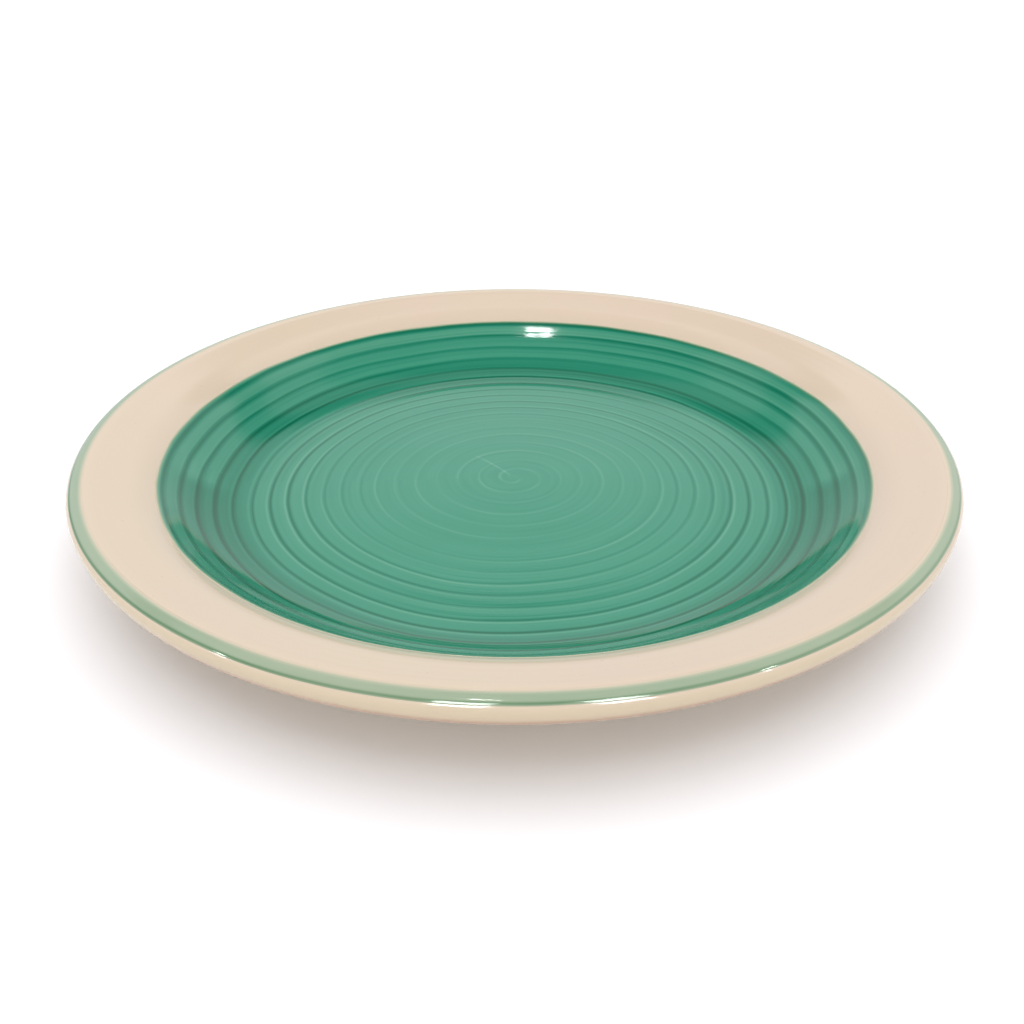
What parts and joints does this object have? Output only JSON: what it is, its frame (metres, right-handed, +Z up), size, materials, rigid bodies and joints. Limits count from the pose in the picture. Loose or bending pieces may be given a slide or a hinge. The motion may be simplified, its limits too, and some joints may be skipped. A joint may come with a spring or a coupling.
{
  "type": "dinner plate",
  "caption": "Round dinner plate in glazed stoneware: sloping cream rim with a rounded lip, a sunk green well and a low foot ring.",
  "frame": {"origin": "centre of the foot ring's standing face", "axes": "+Z up along the plate's axis of turning, out of the well; X and Y are any two radii"},
  "size_m": [0.27, 0.27, 0.0281],
  "materials": {
    "fired_clay": "matt, unglazed on the foot ring",
    "cream_glaze": "gloss",
    "recess_glaze": "gloss",
    "green_glaze": "gloss, brushed in a spiral",
    "band_green": "gloss"
  },
  "bodies": {
    "root": {"clay_body": "fired_clay", "cream_glaze": "cream_glaze", "foot_recess_glaze": "recess_glaze", "well_green_glaze": "green_glaze", "lip_green_band": "band_green"}
  },
  "joints": []
}
